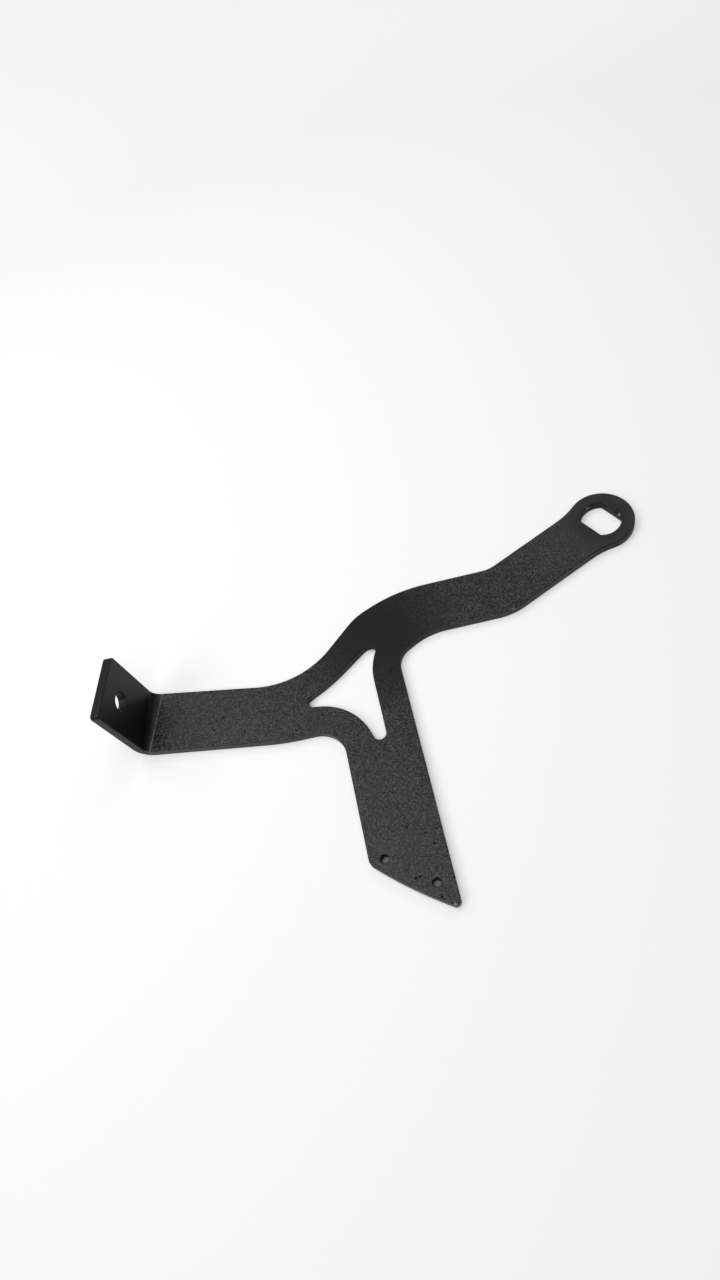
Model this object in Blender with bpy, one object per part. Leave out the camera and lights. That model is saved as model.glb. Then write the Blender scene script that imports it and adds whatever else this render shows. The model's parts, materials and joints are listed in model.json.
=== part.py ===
"""Rear mudguard bracket: one steel plate, cut flat, folded once and coated black.

Three arms leave a web with a three-cornered window: an arm with an elbow that ends in
the axle eye, a long arm that ends in a folded tab with a bolt hole, and a leg whose foot
follows the curve of the mudguard. Lengths are in metres and angles in degrees. The flat
pattern is drawn from the axle, with +X along the long arm towards the axle.
"""
import math
from collections import namedtuple

import bmesh
import bpy
from mathutils import Vector

# Sheet
PLATE_THICKNESS = 0.0032
EDGE_ROUNDING = 0.0003

# Axle eye, whose hole is a circle with two flats
EYE_RADIUS = 0.0115
EYE_BLEND_RADIUS = 0.0270
AXLE_HOLE_RADIUS = 0.00704
AXLE_HOLE_FLATS = 0.01066
AXLE_FLAT_HEADING = 130.8

# Arm from the axle eye through its elbow to the web
AXLE_ARM_WIDTH = 0.0190
AXLE_ARM_LENGTH = 0.0451
AXLE_ARM_TILT = 33.8
ELBOW_TILT = 8.0
ELBOW_HOLLOW_RADIUS = 0.0107
ELBOW_BACK_RADIUS = 0.0225

# Long arm from the web to the tab
LONG_ARM_DROP = 0.07517
LONG_ARM_WIDTH = 0.0224
LONG_ARM_TAPER = 2.0

# Upper edge of the web: the brow over the leg, the crest and the shoulder
BROW_OVERHANG = 0.0049
BROW_RADIUS = 0.0523
CREST_LENGTH = 0.01735
CREST_SLOPE = 31.5
CREST_RADIUS = 0.0221
SHOULDER_SLOPE = 52.7
SHOULDER_RADIUS = 0.0311

# Leg, and its foot that ends in an arc about a point just beside the axle
LEG_REACH = 0.0820
LEG_WIDTH = 0.0242
LEG_TILT = 78.6
FOOT_RADIUS = 0.1421
FOOT_CENTRE_SHIFT = 0.0047
FOOT_FRONT_ROUNDING = 0.0016
FOOT_BACK_ROUNDING = 0.0028
FOOT_HOLE_RADIUS = 0.00135
FOOT_FRONT_HOLE_INSET = 0.0056
FOOT_FRONT_HOLE_SETBACK = 0.0044
FOOT_BACK_HOLE_INSET = 0.0050
FOOT_BACK_HOLE_SETBACK = 0.0038

# Hollow corners between the leg and the two arms
FRONT_EASE_REACH = 0.0123
FRONT_EASE_SLOPE = 37.6
FRONT_EASE_RADIUS = 0.0239
FRONT_CORNER_RADIUS = 0.0077
BACK_EASE_REACH = 0.0203
BACK_EASE_SLOPE = 8.3
BACK_EASE_RADIUS = 0.0880
BACK_CORNER_RADIUS = 0.0099

# Window, each side set in from the nearest corner or edge of the web
WINDOW_BROW_STRUT = 0.0063
WINDOW_BROW_LEAN = 17.6
WINDOW_RIDGE_STRUT = 0.0113
WINDOW_RIDGE_LEAN = 6.2
WINDOW_RIDGE_RADIUS = 0.0626
WINDOW_TOP_STRUT = 0.0131
WINDOW_TOP_SLOPE = 15.0
WINDOW_TOP_ROUNDING = 0.0038
WINDOW_PEAK_STRUT = 0.0080
WINDOW_PEAK_LEAN = 27.4
WINDOW_PEAK_ROUNDING = 0.0020
WINDOW_FRONT_STRUT = 0.0099
WINDOW_FRONT_RADIUS = 0.0220
WINDOW_HEEL_DEPTH = 0.0090
WINDOW_HEEL_SLOPE = 11.3
WINDOW_HEEL_ROUNDING = 0.0022
WINDOW_BACK_STRUT = 0.0081
WINDOW_BACK_SLOPE = 64.2
WINDOW_BACK_ROUNDING = 0.0018
WINDOW_SILL_STRUT = 0.0086
WINDOW_SILL_RADIUS = 0.0200
WINDOW_TIP_SETBACK = 0.0057
WINDOW_TIP_SLOPE = 60.2
WINDOW_TIP_ROUNDING = 0.0013

# Folded tab with its bolt hole
FOLD_REACH = 0.1625
FOLD_ANGLE = 82.7
FOLD_RADIUS = 0.0032
FOLD_NEUTRAL_DEPTH = 0.0014
TAB_LENGTH = 0.0280
TAB_END_LEAN = 4.7
TAB_CORNER_ROUNDING = 0.0012
TAB_HOLE_RADIUS = 0.0032
TAB_HOLE_SETBACK = 0.0099
TAB_HOLE_INSET = 0.0109

# Facets of the round stretches and of the fold
FACET_SAG = 0.000004
FACET_ANGLE = 7.5
FOLD_FACETS = 16

# Coating
COAT_COLOUR = (0.014, 0.014, 0.015, 1.0)
COAT_ROUGHNESS = 0.55

PART_NAME = "rear_mudguard_bracket"

# A straight side of an outline: a point that it runs through, its heading, and the
# radius that rounds the corner between it and the side before it
Side = namedtuple("Side", "through heading rounding")


def unit(angle):
    """Unit vector at an angle from +X."""
    return Vector((math.cos(math.radians(angle)), math.sin(math.radians(angle))))


def angle_of(vector):
    """Angle of a vector from +X."""
    return math.degrees(math.atan2(vector.y, vector.x))


def beside(point, heading, distance):
    """A point moved to the left of a heading, or to its right by a negative distance."""
    return point + unit(heading + 90.0) * distance


def meet(side_a, side_b):
    """The point where two sides meet when they are drawn on."""
    along = unit(side_a.heading)
    across = unit(side_b.heading + 90.0)
    return side_a.through + along * ((side_b.through - side_a.through).dot(across) / along.dot(across))


def arc(centre, radius, start, end):
    """Points along an arc between two angles, both ends included."""
    flattening = FACET_SAG / max(abs(radius), FACET_SAG)
    facet = min(FACET_ANGLE, 2.0 * math.degrees(math.acos(1.0 - flattening)))
    steps = max(math.ceil(abs(end - start) / facet), 2)
    return [centre + unit(start + (end - start) * i / steps) * radius for i in range(steps + 1)]


def circle(centre, radius):
    """Points around a circle."""
    return arc(centre, radius, 0.0, 360.0)[:-1]


def round_corners(sides, closed=False, first=None, last=None):
    """Points of the rounded corners where each side meets the next.

    A rounding that is too large for the length of its sides is limited to what they leave it.
    An open row of sides may start at a first point and end at a last one.
    """
    pairs = list(zip(sides, sides[1:] + sides[:1]))
    if not closed:
        pairs.pop()
    corners = [meet(side, following) for side, following in pairs]
    turns = [(following.heading - side.heading + 180.0) % 360.0 - 180.0 for side, following in pairs]
    tangents = [following.rounding * abs(math.tan(math.radians(turn / 2.0)))
                for (_, following), turn in zip(pairs, turns)]
    limits = [1.0] * len(corners)
    for i in range(0 if closed else 1, len(corners)):
        room = (corners[i] - corners[i - 1]).length / (tangents[i] + tangents[i - 1])
        limits[i] = min(limits[i], room)
        limits[i - 1] = min(limits[i - 1], room)
    if first is not None:
        limits[0] = min(limits[0], (first - corners[0]).length / tangents[0])
    if last is not None:
        limits[-1] = min(limits[-1], (last - corners[-1]).length / tangents[-1])

    points = []
    for (side, following), corner, turn, limit in zip(pairs, corners, turns, limits):
        radius = following.rounding * limit
        inward = math.copysign(90.0, turn)
        reach = radius / math.cos(math.radians(turn / 2.0))
        centre = corner + unit(side.heading + turn / 2.0 + inward) * reach
        start = side.heading - inward
        points += arc(centre, radius, start, start + turn)
    return points


# Bend allowance: where the bend starts, its length in the flat plate, and the blank's end
FOLD_SETBACK = FOLD_RADIUS * math.tan(math.radians(FOLD_ANGLE / 2.0))
BEND_START = FOLD_REACH - FOLD_SETBACK
BEND_LENGTH = math.radians(FOLD_ANGLE) * (FOLD_RADIUS + FOLD_NEUTRAL_DEPTH)
BLANK_REACH = BEND_START + BEND_LENGTH + TAB_LENGTH - FOLD_SETBACK

# Sides of the blank, clockwise from the end of the tab
AXLE = Vector((0.0, 0.0))
ELBOW = AXLE - unit(AXLE_ARM_TILT) * AXLE_ARM_LENGTH
LONG_ARM = Vector((-FOLD_REACH, -LONG_ARM_DROP))
TAB_END_MIDDLE = Vector((-BLANK_REACH, LONG_ARM_WIDTH / 2.0 - LONG_ARM_DROP))
TAB_END = Side(TAB_END_MIDDLE, 90.0 - TAB_END_LEAN, TAB_CORNER_ROUNDING)
LONG_ARM_TOP = Side(beside(LONG_ARM, 0.0, LONG_ARM_WIDTH), -LONG_ARM_TAPER, TAB_CORNER_ROUNDING)
LEG_FRONT = Side(beside(AXLE, -LEG_TILT, -LEG_REACH), -LEG_TILT, FRONT_CORNER_RADIUS)
LEG_BACK = Side(beside(AXLE, -LEG_TILT, -LEG_REACH - LEG_WIDTH), 180.0 - LEG_TILT, 0.0)
ELBOW_TOP = Side(beside(ELBOW, ELBOW_TILT, AXLE_ARM_WIDTH / 2.0), ELBOW_TILT, BROW_RADIUS)
BROW = meet(ELBOW_TOP, LEG_FRONT) + unit(ELBOW_TILT) * BROW_OVERHANG
CREST = BROW - unit(CREST_SLOPE) * CREST_LENGTH
CREST_SIDE = Side(CREST, CREST_SLOPE, CREST_RADIUS)
SHOULDER_SIDE = Side(CREST, SHOULDER_SLOPE, SHOULDER_RADIUS)
SHOULDER = meet(LONG_ARM_TOP, SHOULDER_SIDE)
ARM_TOP = Side(beside(AXLE, AXLE_ARM_TILT, AXLE_ARM_WIDTH / 2.0), AXLE_ARM_TILT, ELBOW_HOLLOW_RADIUS)
ARM_BACK = Side(beside(AXLE, AXLE_ARM_TILT, -AXLE_ARM_WIDTH / 2.0), AXLE_ARM_TILT + 180.0, 0.0)
ELBOW_BACK = Side(beside(ELBOW, ELBOW_TILT, -AXLE_ARM_WIDTH / 2.0), ELBOW_TILT + 180.0, ELBOW_BACK_RADIUS)
FRONT_EASE = Side(meet(ELBOW_BACK, LEG_FRONT) + unit(ELBOW_TILT) * FRONT_EASE_REACH,
                  FRONT_EASE_SLOPE + 180.0, FRONT_EASE_RADIUS)
LONG_ARM_BACK = Side(LONG_ARM, 180.0, BACK_EASE_RADIUS)
BACK_EASE = Side(meet(LONG_ARM_BACK, LEG_BACK) + unit(180.0) * BACK_EASE_REACH,
                 BACK_EASE_SLOPE + 180.0, BACK_CORNER_RADIUS)
FRONT_CORNER = meet(FRONT_EASE, LEG_FRONT)
BACK_CORNER = meet(LEG_BACK, BACK_EASE)
FOOT_CENTRE = beside(AXLE, -LEG_TILT, -FOOT_CENTRE_SHIFT)


def eye_outline():
    """The round end of the axle arm, and the blends from the arm's two edges into it.

    The blends are hollow as long as the eye is wider than its arm, and bulge if it is narrower.
    """
    blend = math.copysign(EYE_BLEND_RADIUS, EYE_RADIUS - AXLE_ARM_WIDTH / 2.0)
    reach = EYE_RADIUS + blend
    lean = math.degrees(math.asin((AXLE_ARM_WIDTH / 2.0 + blend) / reach))
    if blend > 0.0:
        lean = 180.0 - lean
    top = AXLE_ARM_TILT + lean
    back = AXLE_ARM_TILT - lean
    points = arc(AXLE + unit(top) * reach, blend, AXLE_ARM_TILT - 90.0, top - 180.0)
    points += arc(AXLE, EYE_RADIUS, top, back)[1:-1]
    points += arc(AXLE + unit(back) * reach, blend, back + 180.0, AXLE_ARM_TILT + 90.0)
    return points


def on_leg(inset, radius):
    """The point on the leg that far in from its back edge and at that radius from the foot's centre."""
    across = LEG_REACH + LEG_WIDTH - FOOT_CENTRE_SHIFT - inset
    along = math.sqrt(radius ** 2 - across ** 2)
    return beside(FOOT_CENTRE, -LEG_TILT, -across) + unit(-LEG_TILT) * along


def foot_outline():
    """The foot's end, an arc about the foot's centre between its two rounded corners."""
    front = on_leg(LEG_WIDTH - FOOT_FRONT_ROUNDING, FOOT_RADIUS - FOOT_FRONT_ROUNDING)
    back = on_leg(FOOT_BACK_ROUNDING, FOOT_RADIUS - FOOT_BACK_ROUNDING)
    front_angle = angle_of(front - FOOT_CENTRE)
    back_angle = angle_of(back - FOOT_CENTRE)
    points = arc(front, FOOT_FRONT_ROUNDING, 90.0 - LEG_TILT, front_angle)
    points += arc(FOOT_CENTRE, FOOT_RADIUS, front_angle, back_angle)[1:-1]
    points += arc(back, FOOT_BACK_ROUNDING, back_angle, -90.0 - LEG_TILT)
    return points


def blank_outline():
    """Outer edge of the flat blank."""
    points = round_corners([TAB_END, LONG_ARM_TOP, SHOULDER_SIDE, CREST_SIDE, ELBOW_TOP, ARM_TOP])
    points += eye_outline()
    foot = foot_outline()
    points += round_corners([ARM_BACK, ELBOW_BACK, FRONT_EASE, LEG_FRONT], last=foot[0])
    points += foot
    points += round_corners([LEG_BACK, BACK_EASE, LONG_ARM_BACK, TAB_END], first=foot[-1])
    return points


def window_outline():
    """Edge of the window, whose struts stay beside the corners and edges of the web."""
    brow_heading = SHOULDER_SLOPE - WINDOW_BROW_LEAN
    ridge_heading = SHOULDER_SLOPE - WINDOW_RIDGE_LEAN
    peak_heading = -LEG_TILT - WINDOW_PEAK_LEAN
    back_heading = 180.0 - WINDOW_BACK_SLOPE
    brow = Side(beside(SHOULDER, brow_heading, -WINDOW_BROW_STRUT), brow_heading, WINDOW_TIP_ROUNDING)
    ridge = Side(beside(CREST, ridge_heading, -WINDOW_RIDGE_STRUT), ridge_heading, WINDOW_RIDGE_RADIUS)
    top = Side(beside(CREST, WINDOW_TOP_SLOPE, -WINDOW_TOP_STRUT), WINDOW_TOP_SLOPE, WINDOW_TOP_ROUNDING)
    peak = Side(beside(FRONT_CORNER, peak_heading, -WINDOW_PEAK_STRUT), peak_heading, WINDOW_PEAK_ROUNDING)
    front = Side(beside(LEG_FRONT.through, -LEG_TILT, -WINDOW_FRONT_STRUT), -LEG_TILT, WINDOW_FRONT_RADIUS)
    depth = Side(BACK_CORNER + unit(-LEG_TILT) * WINDOW_HEEL_DEPTH, 90.0 - LEG_TILT, 0.0)
    heel = Side(meet(depth, front), 180.0 - WINDOW_HEEL_SLOPE, WINDOW_HEEL_ROUNDING)
    back = Side(beside(BACK_CORNER, back_heading, -WINDOW_BACK_STRUT), back_heading, WINDOW_BACK_ROUNDING)
    sill = Side(beside(BACK_CORNER, 180.0, -WINDOW_SILL_STRUT), 180.0, WINDOW_SILL_RADIUS)
    tip = Side(meet(sill, brow) + unit(0.0) * WINDOW_TIP_SETBACK, 180.0 - WINDOW_TIP_SLOPE,
               WINDOW_TIP_ROUNDING)
    return round_corners([brow, ridge, top, peak, front, heel, back, sill, tip], closed=True)


def axle_hole():
    """The axle's hole: two arcs, with a flat between their ends on each side."""
    half = math.degrees(math.asin(AXLE_HOLE_FLATS / 2.0 / AXLE_HOLE_RADIUS))
    points = arc(AXLE, AXLE_HOLE_RADIUS, AXLE_FLAT_HEADING - half, AXLE_FLAT_HEADING + half)
    points += arc(AXLE, AXLE_HOLE_RADIUS, AXLE_FLAT_HEADING + 180.0 - half, AXLE_FLAT_HEADING + 180.0 + half)
    return points


def foot_holes():
    """The foot's two holes, one by each edge of the leg."""
    front = on_leg(LEG_WIDTH - FOOT_FRONT_HOLE_INSET, FOOT_RADIUS - FOOT_FRONT_HOLE_SETBACK)
    back = on_leg(FOOT_BACK_HOLE_INSET, FOOT_RADIUS - FOOT_BACK_HOLE_SETBACK)
    return [circle(front, FOOT_HOLE_RADIUS), circle(back, FOOT_HOLE_RADIUS)]


def tab_hole():
    """The bolt hole in what becomes the tab."""
    centre = Vector((TAB_HOLE_SETBACK - BLANK_REACH, TAB_HOLE_INSET - LONG_ARM_DROP))
    return circle(centre, TAB_HOLE_RADIUS)


def cut_blank():
    """The flat plate with its window and holes and its rounded edges, as a closed mesh."""
    drawing = bpy.data.curves.new("blank_drawing", 'CURVE')
    drawing.dimensions = '2D'
    drawing.fill_mode = 'BOTH'
    drawing.extrude = PLATE_THICKNESS / 2.0 - EDGE_ROUNDING
    drawing.bevel_depth = EDGE_ROUNDING
    drawing.bevel_resolution = 1
    drawing.offset = -EDGE_ROUNDING
    for points in [blank_outline(), window_outline(), axle_hole(), *foot_holes(), tab_hole()]:
        spline = drawing.splines.new('POLY')
        spline.points.add(len(points) - 1)
        for spline_point, point in zip(spline.points, points):
            spline_point.co = (point.x, point.y, 0.0, 1.0)
        spline.use_cyclic_u = True
    blank = bpy.data.objects.new("blank_drawing", drawing)
    bpy.context.scene.collection.objects.link(blank)
    evaluated = blank.evaluated_get(bpy.context.evaluated_depsgraph_get())
    mesh = bpy.data.meshes.new_from_object(evaluated)
    bpy.data.objects.remove(blank)
    bpy.data.curves.remove(drawing)
    return mesh


def fold_tab(plate):
    """Bends the flat plate up into the tab, over a row of narrow flat facets."""
    for i in range(FOLD_FACETS + 1):
        line = Vector((-BEND_START - BEND_LENGTH * i / FOLD_FACETS, 0.0, 0.0))
        everything = plate.verts[:] + plate.edges[:] + plate.faces[:]
        bmesh.ops.bisect_plane(plate, geom=everything, plane_co=line, plane_no=(1.0, 0.0, 0.0), dist=1e-7)
    upper_face = PLATE_THICKNESS / 2.0
    for vert in plate.verts:
        travel = -vert.co.x - BEND_START
        if travel <= 0.0:
            continue
        turned = math.radians(FOLD_ANGLE) * min(travel / BEND_LENGTH, 1.0)
        beyond = max(travel - BEND_LENGTH, 0.0)
        radius = FOLD_RADIUS + upper_face - vert.co.z
        vert.co.x = -BEND_START - radius * math.sin(turned) - beyond * math.cos(turned)
        vert.co.z = upper_face + FOLD_RADIUS - radius * math.cos(turned) + beyond * math.sin(turned)


def coat_material():
    """Black powder coat."""
    material = bpy.data.materials.new("black_powder_coat")
    material.use_nodes = True
    shader = material.node_tree.nodes["Principled BSDF"]
    shader.inputs["Base Color"].default_value = COAT_COLOUR
    shader.inputs["Roughness"].default_value = COAT_ROUGHNESS
    shader.inputs["Metallic"].default_value = 0.0
    return material


def build_bracket():
    """The folded bracket, lying on its underside with its bounding box centred on the origin."""
    mesh = cut_blank()
    plate = bmesh.new()
    plate.from_mesh(mesh)
    bmesh.ops.remove_doubles(plate, verts=plate.verts[:], dist=1e-6)
    fold_tab(plate)
    plate.to_mesh(mesh)
    plate.free()

    mesh.name = PART_NAME
    mesh.shade_smooth()
    mesh.set_sharp_from_angle(angle=math.radians(30.0))
    mesh.materials.clear()
    mesh.materials.append(coat_material())
    bracket = bpy.data.objects.new(PART_NAME, mesh)
    low = [min(vert.co[axis] for vert in mesh.vertices) for axis in range(3)]
    high = [max(vert.co[axis] for vert in mesh.vertices) for axis in range(3)]
    bracket.location = (-(low[0] + high[0]) / 2.0, -(low[1] + high[1]) / 2.0, -low[2])
    collection = bpy.data.collections.new(PART_NAME)
    bpy.context.scene.collection.children.link(collection)
    collection.objects.link(bracket)


for old_object in list(bpy.data.objects):
    bpy.data.objects.remove(old_object, do_unlink=True)
build_bracket()
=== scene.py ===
"""Rear mudguard bracket, lying on a pale table in soft studio light."""
import json
import math

import bpy
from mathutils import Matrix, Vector

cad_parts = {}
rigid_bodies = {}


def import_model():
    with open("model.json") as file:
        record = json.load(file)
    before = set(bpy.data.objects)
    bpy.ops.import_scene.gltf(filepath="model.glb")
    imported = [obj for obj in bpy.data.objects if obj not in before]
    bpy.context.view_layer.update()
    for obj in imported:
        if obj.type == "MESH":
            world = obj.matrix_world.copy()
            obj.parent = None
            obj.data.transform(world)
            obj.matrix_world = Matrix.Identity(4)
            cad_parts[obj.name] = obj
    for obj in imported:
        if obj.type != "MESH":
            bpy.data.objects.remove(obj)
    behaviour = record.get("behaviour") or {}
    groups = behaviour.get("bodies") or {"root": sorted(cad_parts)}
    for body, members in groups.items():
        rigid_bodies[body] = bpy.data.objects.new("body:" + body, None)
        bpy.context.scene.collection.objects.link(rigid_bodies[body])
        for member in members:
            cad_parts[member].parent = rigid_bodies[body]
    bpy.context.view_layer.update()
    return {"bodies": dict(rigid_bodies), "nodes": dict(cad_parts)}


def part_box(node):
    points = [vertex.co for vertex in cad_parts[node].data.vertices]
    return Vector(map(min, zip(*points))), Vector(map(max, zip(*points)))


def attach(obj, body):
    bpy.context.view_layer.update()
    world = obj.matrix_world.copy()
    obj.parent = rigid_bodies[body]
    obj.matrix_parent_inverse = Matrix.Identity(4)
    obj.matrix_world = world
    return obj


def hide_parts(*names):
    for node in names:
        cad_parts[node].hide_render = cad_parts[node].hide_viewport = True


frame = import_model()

scene = bpy.context.scene
scene.view_settings.view_transform = 'Standard'
frame_objects = set(frame["nodes"].values()) | set(frame["bodies"].values())
for default_object in [o for o in bpy.data.objects if o not in frame_objects]:
    bpy.data.objects.remove(default_object, do_unlink=True)

# The camera stands in front of the bracket and above it, on the foot's side, and looks
# down over the leg. Its place is measured from the centre of the axle eye, on the upper
# face of the plate, and its lens belongs to a picture of 720 x 1280 pixels.
PICTURE_HEIGHT = 1280
FOCAL_PIXELS = 879.85
SENSOR_HEIGHT = 36.0
EYE_RADIUS = 0.0115
PLATE_THICKNESS = 0.0032
CAMERA_FROM_EYE = Vector((-0.03328, -0.19524, 0.25901))
CAMERA_PITCH = 30.49
CAMERA_YAW = 11.78

eye_low, eye_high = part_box("rear_mudguard_bracket")
eye_centre = Vector((eye_high[0] - EYE_RADIUS, eye_high[1] - EYE_RADIUS, PLATE_THICKNESS))
camera_data = bpy.data.cameras.new("camera")
camera_data.sensor_fit = 'VERTICAL'
camera_data.sensor_height = SENSOR_HEIGHT
camera_data.lens = SENSOR_HEIGHT * FOCAL_PIXELS / PICTURE_HEIGHT
camera_data.clip_start = 0.01
camera_data.clip_end = 20.0
camera = bpy.data.objects.new("camera", camera_data)
camera.location = eye_centre + CAMERA_FROM_EYE
camera.rotation_euler = (math.radians(CAMERA_PITCH), math.radians(CAMERA_YAW), 0.0)
scene.collection.objects.link(camera)
scene.camera = camera

# The bracket: 3 mm mild steel plate, laser cut, folded once for the tab and powder coated.
# It is one piece. The folded plate is taken from the frame, its loose facets are merged
# into whole faces, and the coat's rounded edges run smoothly into the flat faces.
MERGE_DISTANCE = 0.000002
FLAT_ANGLE = 0.2
SMOOTH_ANGLE = 60.0

bpy.ops.object.select_all(action='DESELECT')
bare_plate = frame["nodes"]["rear_mudguard_bracket"]
bracket = bare_plate.copy()
bracket.data = bare_plate.data.copy()
bracket.name = "coated_bracket"
bracket.data.name = "coated_bracket"
bracket.parent = None
scene.collection.objects.link(bracket)
bracket.select_set(True)
bpy.context.view_layer.objects.active = bracket
bpy.ops.object.mode_set(mode='EDIT')
bpy.ops.mesh.select_all(action='SELECT')
bpy.ops.mesh.remove_doubles(threshold=MERGE_DISTANCE)
bpy.ops.mesh.customdata_custom_splitnormals_clear()
bpy.ops.mesh.dissolve_limited(angle_limit=math.radians(FLAT_ANGLE))
bpy.ops.object.mode_set(mode='OBJECT')

# The axle's thread has bitten into the rim of its hole where the bracket was pushed over it:
# three scallops on the round side, a deeper one at the corner of the upper flat, and two
# nicks along that flat. Each place is measured from the hole's centre, then its radius.
BITE_HEIGHT = 0.0031
BITES = [(-0.00563, 0.00325, 0.0009), (-0.00388, 0.00534, 0.0010), (-0.00179, 0.00625, 0.0009),
         (0.00620, 0.00095, 0.0010), (0.00486, 0.00177, 0.0009), (0.00173, 0.00530, 0.0009)]

bpy.ops.object.select_all(action='DESELECT')
for x, y, bite_radius in BITES:
    bpy.ops.mesh.primitive_ico_sphere_add(subdivisions=3, radius=bite_radius,
                                          location=(eye_centre.x + x, eye_centre.y + y, BITE_HEIGHT))
    thread_tooth = bpy.context.active_object
    bite = bracket.modifiers.new("thread_bite", 'BOOLEAN')
    bite.operation = 'DIFFERENCE'
    bite.object = thread_tooth
    bpy.ops.object.select_all(action='DESELECT')
    bracket.select_set(True)
    bpy.context.view_layer.objects.active = bracket
    bpy.ops.object.modifier_apply(modifier=bite.name)
    bpy.data.objects.remove(thread_tooth, do_unlink=True)
bpy.ops.object.shade_smooth_by_angle(angle=math.radians(SMOOTH_ANGLE))
weighted = bracket.modifiers.new("flat_faces_stay_flat", 'WEIGHTED_NORMAL')
weighted.keep_sharp = True
bpy.ops.object.modifier_apply(modifier=weighted.name)


def linear(hex_colour):
    """An sRGB hex colour as linear red, green, blue and alpha."""
    channels = [int(hex_colour[i:i + 2], 16) / 255.0 for i in (1, 3, 5)]
    return [c / 12.92 if c <= 0.04045 else ((c + 0.055) / 1.055) ** 2.4 for c in channels] + [1.0]


def add_node(tree, kind, settings=None, links=None):
    """Adds a node, sets its properties and inputs, and links its inputs to other nodes' outputs."""
    node = tree.nodes.new(kind)
    for name, value in (settings or {}).items():
        if isinstance(name, str) and hasattr(node, name):
            setattr(node, name, value)
        else:
            node.inputs[name].default_value = value
    for name, output in (links or {}).items():
        tree.links.new(output, node.inputs[name])
    return node


# Textured black polyester powder coat, sprayed and baked: a satin skin with a grain like
# fine sand, whose crests are painted paler: a painted highlight where they catch the light.
# It ran smoother where it lay thicker, in the fold and on the tab, over the web and round the
# eye; there the grain and its painted highlight are left out, so these places are painted
# darker too, which is painted shade. The grain is drawn about twice as coarse as it is
# (0.25 mm), so that it shows.
COAT_DARK = "#0c0c0d"
COAT_CREST_HIGHLIGHT = "#48484a"
COAT_ROUGHNESS = 0.26
POOL_ROUGHNESS = 0.42
COAT_IOR = 1.42
GRAIN_SIZE = 0.0005
GRAIN_HEIGHT = 0.00015
CLOUD_SIZE = 0.009
SMOOTH_SHADED_POOLS = {"web": ((-0.002, 0.021, 0.003), 0.010, 0.030), "eye": ((0.0789, 0.0603, 0.003), 0.008, 0.022)}
FOLD_LINE = -0.0808
FOLD_SKEW = -0.0868
FOLD_TOP = 0.0042

# Marks on the coat, in metres on the plate: small pits, hollowed in the bump, made dull and
# painted black; a fine pale line beside the fold, which is a painted highlight where the bend
# starts; and spots rubbed down to the grey primer on the corners that touch other things first.
PIT_RADIUS = 0.0004
PIT_DEPTH = 0.0002
PIT_PLACES = [(0.0161, -0.0692), (-0.0091, -0.0153), (0.0063, -0.0475), (0.0121, -0.0497),
              (0.0086, -0.0633), (0.0098, -0.0630), (0.0023, 0.0077), (0.0064, 0.0171),
              (-0.0729, -0.0052), (-0.0727, -0.0002), (-0.0564, -0.0045), (-0.0594, -0.0088),
              (-0.0482, -0.0105), (0.0292, 0.0362), (0.0155, -0.0484), (0.0144, -0.0530),
              (0.0851, 0.0634)]
FOLD_HIGHLIGHT_WIDTH = 0.0004
FOLD_HIGHLIGHT_COLOUR = "#666667"
RUB_RADIUS = 0.0007
RUB_COLOUR = "#8f8d89"
RUB_PLACES = [(0.0453, 0.0267, 0.0030), (0.0199, -0.0716, 0.0030), (0.08536, 0.06179, 0.0023),
              (0.07476, 0.06633, 0.0024)]

coat = bpy.data.materials.new("textured_black_powder_coat")
coat.use_nodes = True
tree = coat.node_tree
shader = tree.nodes["Principled BSDF"]
shader.inputs["Metallic"].default_value = 0.0
shader.inputs["IOR"].default_value = COAT_IOR
place = add_node(tree, "ShaderNodeTexCoord")
ripple = add_node(tree, "ShaderNodeTexNoise", {"Scale": 1.0 / PIT_RADIUS, "Detail": 1.0},
                  {"Vector": place.outputs["Object"]})


def spots(places, core, edge, ragged):
    """One at each place, falling to nothing between the core and edge radii, with a ragged outline."""
    total = None
    for point in places:
        reach = add_node(tree, "ShaderNodeVectorMath", {"operation": 'DISTANCE', 1: point},
                         {0: place.outputs["Object"]})
        wander = add_node(tree, "ShaderNodeMath", {"operation": 'MULTIPLY_ADD', 1: ragged},
                          {0: ripple.outputs["Fac"], 2: reach.outputs["Value"]})
        share = add_node(tree, "ShaderNodeMapRange",
                         {"From Min": core + ragged / 2.0, "From Max": edge + ragged / 2.0, "To Min": 1.0, "To Max": 0.0},
                         {"Value": wander.outputs[0]})
        if total is None:
            total = share.outputs["Result"]
        else:
            total = add_node(tree, "ShaderNodeMath", {"operation": 'MAXIMUM'},
                             {0: total, 1: share.outputs["Result"]}).outputs[0]
    return total


grain = add_node(tree, "ShaderNodeTexNoise", {"Scale": 1.0 / GRAIN_SIZE, "Detail": 1.0, "Roughness": 0.7},
                 {"Vector": place.outputs["Object"]})
cloud = add_node(tree, "ShaderNodeTexNoise", {"Scale": 1.0 / CLOUD_SIZE, "Detail": 2.0},
                 {"Vector": place.outputs["Object"]})
apart = add_node(tree, "ShaderNodeSeparateXYZ", {}, {"Vector": place.outputs["Object"]})
from_fold = add_node(tree, "ShaderNodeMath", {"operation": 'MULTIPLY_ADD', 1: FOLD_SKEW},
                     {0: apart.outputs["Y"], 2: apart.outputs["X"]})
past_fold = add_node(tree, "ShaderNodeMapRange", {"From Min": FOLD_LINE - 0.0016, "From Max": FOLD_LINE},
                     {"Value": from_fold.outputs[0]})
below_tab = add_node(tree, "ShaderNodeMath", {"operation": 'LESS_THAN', 1: FOLD_TOP}, {0: apart.outputs["Z"]})
grain_and_highlight_share = add_node(tree, "ShaderNodeMath", {"operation": 'MULTIPLY'},
                    {0: past_fold.outputs["Result"], 1: below_tab.outputs[0]})
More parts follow.
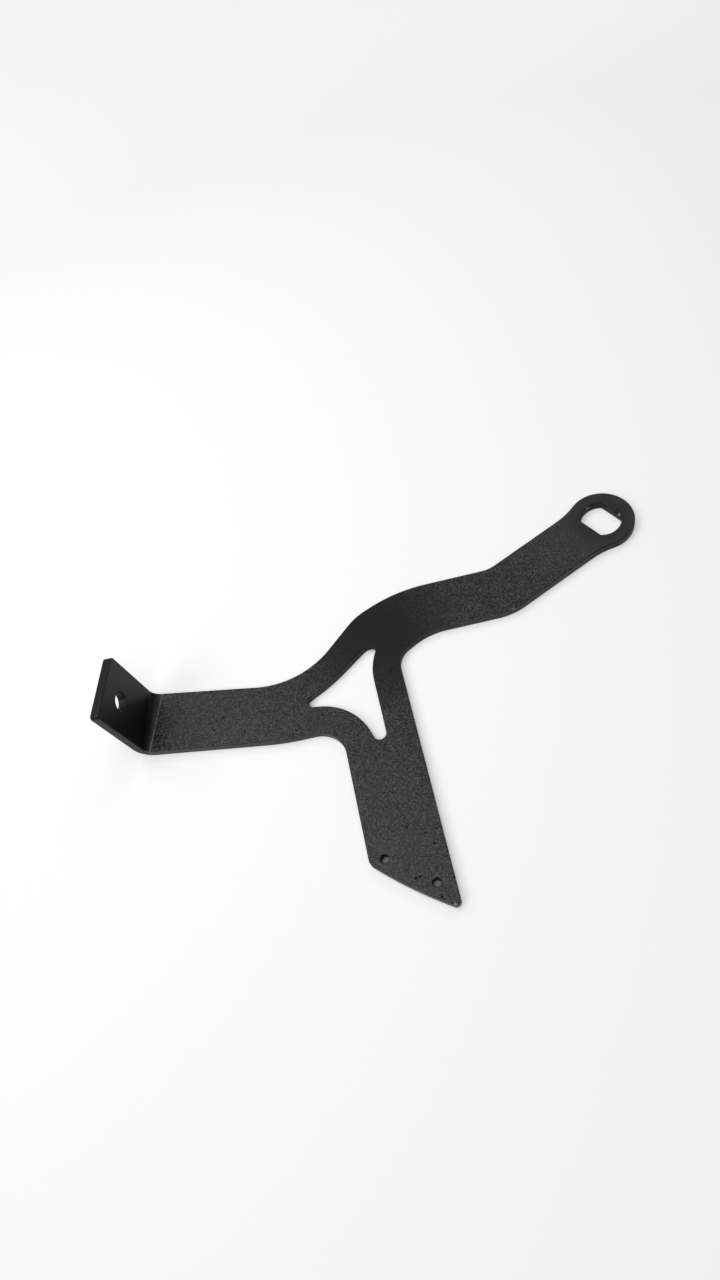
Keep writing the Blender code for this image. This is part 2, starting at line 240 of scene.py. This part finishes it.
# In the pools, the fold and the tab the painted crest highlight is left out, so the coat is painted darker there:
# painted shade, besides the smoother finish.
for centre, core, edge in SMOOTH_SHADED_POOLS.values():
    shaded_pool = add_node(tree, "ShaderNodeMath", {"operation": 'SUBTRACT', 0: 1.0},
                    {1: spots([centre], core, edge, 0.0)})
    grain_and_highlight_share = add_node(tree, "ShaderNodeMath", {"operation": 'MULTIPLY'},
                        {0: grain_and_highlight_share.outputs[0], 1: shaded_pool.outputs[0]})
# The paler grain crests are a painted highlight: the crests as lit by the light.
crest_share = add_node(tree, "ShaderNodeMapRange", {"From Min": 0.44, "From Max": 0.63},
                       {"Value": grain.outputs["Fac"]})
cloud_share = add_node(tree, "ShaderNodeMapRange", {"From Min": 0.3, "From Max": 0.7, "To Min": 0.85, "To Max": 1.0},
                       {"Value": cloud.outputs["Fac"]})
crest_highlight = add_node(tree, "ShaderNodeMath", {"operation": 'MULTIPLY'},
                {0: crest_share.outputs["Result"], 1: cloud_share.outputs["Result"]})
crest_highlight_here = add_node(tree, "ShaderNodeMath", {"operation": 'MULTIPLY'}, {0: crest_highlight.outputs[0], 1: grain_and_highlight_share.outputs[0]})
black = add_node(tree, "ShaderNodeMixRGB", {"Color1": linear(COAT_DARK), "Color2": linear(COAT_CREST_HIGHLIGHT)},
                 {"Fac": crest_highlight_here.outputs[0]})
pit_share = spots([(x, y, PLATE_THICKNESS) for x, y in PIT_PLACES], 0.5 * PIT_RADIUS, PIT_RADIUS, 0.3 * PIT_RADIUS)
pitted = add_node(tree, "ShaderNodeMixRGB", {"Color2": (0.0, 0.0, 0.0, 1.0)},
                  {"Fac": pit_share, "Color1": black.outputs["Color"]})
rubbed = add_node(tree, "ShaderNodeMixRGB", {"Color2": linear(RUB_COLOUR)},
                  {"Fac": spots(RUB_PLACES, 0.4 * RUB_RADIUS, RUB_RADIUS, RUB_RADIUS), "Color1": pitted.outputs["Color"]})
# The pale line beside the fold is a painted highlight.
on_fold_highlight_line = add_node(tree, "ShaderNodeMath", {"operation": 'COMPARE', 1: FOLD_LINE, 2: FOLD_HIGHLIGHT_WIDTH / 2.0},
                    {0: from_fold.outputs[0]})
upper = add_node(tree, "ShaderNodeMath", {"operation": 'GREATER_THAN', 1: 0.0031}, {0: apart.outputs["Z"]})
fold_highlight = add_node(tree, "ShaderNodeMath", {"operation": 'MULTIPLY'}, {0: on_fold_highlight_line.outputs[0], 1: upper.outputs[0]})
with_fold_highlight = add_node(tree, "ShaderNodeMixRGB", {"Color2": linear(FOLD_HIGHLIGHT_COLOUR)},
                  {"Fac": fold_highlight.outputs[0], "Color1": rubbed.outputs["Color"]})
tree.links.new(with_fold_highlight.outputs["Color"], shader.inputs["Base Color"])
sheen = add_node(tree, "ShaderNodeMapRange", {"To Min": POOL_ROUGHNESS, "To Max": COAT_ROUGHNESS},
                 {"Value": grain_and_highlight_share.outputs[0]})
dull = add_node(tree, "ShaderNodeMath", {"operation": 'MAXIMUM'}, {0: sheen.outputs["Result"], 1: pit_share})
tree.links.new(dull.outputs[0], shader.inputs["Roughness"])
raised = add_node(tree, "ShaderNodeMath", {"operation": 'MULTIPLY'}, {0: grain.outputs["Fac"], 1: grain_and_highlight_share.outputs[0]})
hollowed = add_node(tree, "ShaderNodeMath", {"operation": 'MULTIPLY_ADD', 1: -PIT_DEPTH / GRAIN_HEIGHT},
                    {0: pit_share, 2: raised.outputs[0]})
bump = add_node(tree, "ShaderNodeBump", {"Strength": 1.0, "Distance": GRAIN_HEIGHT}, {"Height": hollowed.outputs[0]})
tree.links.new(bump.outputs["Normal"], shader.inputs["Normal"])
bracket.data.materials.clear()
bracket.data.materials.append(coat)
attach(bracket, "root")
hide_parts("rear_mudguard_bracket")

# The table: a sheet of matt white board, which the bracket lies on. For the camera alone it
# is lifted towards white, and to full white far out. The lift leaves the bracket's shadow on it.
# Where ambient occlusion finds the sky shut out, inside the small holes, both the lift and the table's own white fade
# towards black: painted shade.
TABLE_SIZE = 6.0
TABLE_COLOUR = "#f4f4f4"
TABLE_LIFT = 0.30
LIFT_NEAR = 0.35
LIFT_FAR = 1.3
SHADE_REACH = 0.008

bpy.ops.object.select_all(action='DESELECT')
bpy.ops.mesh.primitive_plane_add(size=TABLE_SIZE, location=(0.0, 0.0, 0.0))
table = bpy.context.active_object
table.name = "table"
board = bpy.data.materials.new("matt_white_board")
board.use_nodes = True
board_shader = board.node_tree.nodes["Principled BSDF"]
board_shader.inputs["Roughness"].default_value = 0.9
board_shader.inputs["Specular IOR Level"].default_value = 0.0
board_shader.inputs["Emission Color"].default_value = (1.0, 1.0, 1.0, 1.0)
ray = add_node(board.node_tree, "ShaderNodeLightPath")
open_sky = add_node(board.node_tree, "ShaderNodeAmbientOcclusion", {"samples": 16, "Distance": SHADE_REACH})
spot = add_node(board.node_tree, "ShaderNodeTexCoord")
far_out = add_node(board.node_tree, "ShaderNodeVectorMath", {"operation": 'LENGTH'}, {0: spot.outputs["Object"]})
far_lift = add_node(board.node_tree, "ShaderNodeMapRange",
                    {"From Min": LIFT_NEAR, "From Max": LIFT_FAR, "To Min": TABLE_LIFT, "To Max": 1.0},
                    {"Value": far_out.outputs["Value"]})
lift = add_node(board.node_tree, "ShaderNodeMath", {"operation": 'MULTIPLY'},
                {0: ray.outputs["Is Camera Ray"], 1: far_lift.outputs["Result"]})
open_share = add_node(board.node_tree, "ShaderNodeMapRange", {"From Min": 0.13, "From Max": 0.45, "To Min": 0.1},
                      {"Value": open_sky.outputs["AO"]})
# The camera's lift fades where the sky is shut out: painted shade.
lift_with_painted_shade = add_node(board.node_tree, "ShaderNodeMath", {"operation": 'MULTIPLY'},
                     {0: lift.outputs[0], 1: open_share.outputs["Result"]})
# The board's colour fades to black where the sky is shut out: painted shade in the holes.
board_colour_with_painted_shade = add_node(board.node_tree, "ShaderNodeMixRGB", {"Color1": (0.0, 0.0, 0.0, 1.0), "Color2": linear(TABLE_COLOUR)},
                 {"Fac": open_share.outputs["Result"]})
board.node_tree.links.new(board_colour_with_painted_shade.outputs["Color"], board_shader.inputs["Base Color"])
board.node_tree.links.new(lift_with_painted_shade.outputs[0], board_shader.inputs["Emission Strength"])
table.data.materials.append(board)

# The light: small soft boxes close above the bracket, which its coat reflects towards the
# camera with a dark gap between them over the web, and two large ones in front, which light
# the table. The room is pale, and white where the camera sees it past the table.
ROOM_LEVEL = 0.1
BOXES = {
    "left_soft_box": {"place": (-0.241, 0.170, 0.453), "aim": (-0.241, 0.170, 0.0), "size": (0.18, 0.20), "level": 2.7},
    "foot_soft_box": {"place": (-0.090, -0.004, 0.453), "aim": (-0.090, -0.004, 0.0), "size": (0.28, 0.14), "level": 3.3},
    "arm_soft_box": {"place": (0.129, 0.415, 0.453), "aim": (0.129, 0.415, 0.0), "size": (0.26, 0.16), "level": 3.0},
    "elbow_soft_box": {"place": (0.009, 0.390, 0.453), "aim": (0.009, 0.390, 0.0), "size": (0.10, 0.12), "level": 1.7},
    "far_left_soft_box": {"place": (-0.481, 0.210, 0.453), "aim": (-0.481, 0.210, 0.0), "size": (0.16, 0.40), "level": 2.2},
    "key_soft_box": {"place": (-0.695, -0.487, 0.849), "aim": (0.0, 0.0, 0.0), "size": (0.6, 0.5), "level": 2.85},
    "front_soft_box": {"place": (0.104, -0.591, 1.039), "aim": (0.0, 0.0, 0.0), "size": (0.6, 0.5), "level": 2.9},
}
world = bpy.data.worlds.new("pale_room")
scene.world = world
world.use_nodes = True
background = world.node_tree.nodes["Background"]
background.inputs["Color"].default_value = (1.0, 1.0, 1.0, 1.0)
room_ray = add_node(world.node_tree, "ShaderNodeLightPath")
room_level = add_node(world.node_tree, "ShaderNodeMapRange", {"To Min": ROOM_LEVEL, "To Max": 1.0},
                      {"Value": room_ray.outputs["Is Camera Ray"]})
world.node_tree.links.new(room_level.outputs["Result"], background.inputs["Strength"])
for name, box in BOXES.items():
    lamp_data = bpy.data.lights.new(name, 'AREA')
    lamp_data.shape = 'RECTANGLE'
    lamp_data.size, lamp_data.size_y = box["size"]
    lamp_data.energy = box["level"] * math.pi * box["size"][0] * box["size"][1]
    lamp = bpy.data.objects.new(name, lamp_data)
    lamp.location = box["place"]
    lamp.rotation_euler = (Vector(box["place"]) - Vector(box["aim"])).to_track_quat('Z', 'Y').to_euler()
    lamp.visible_camera = False
    scene.collection.objects.link(lamp)
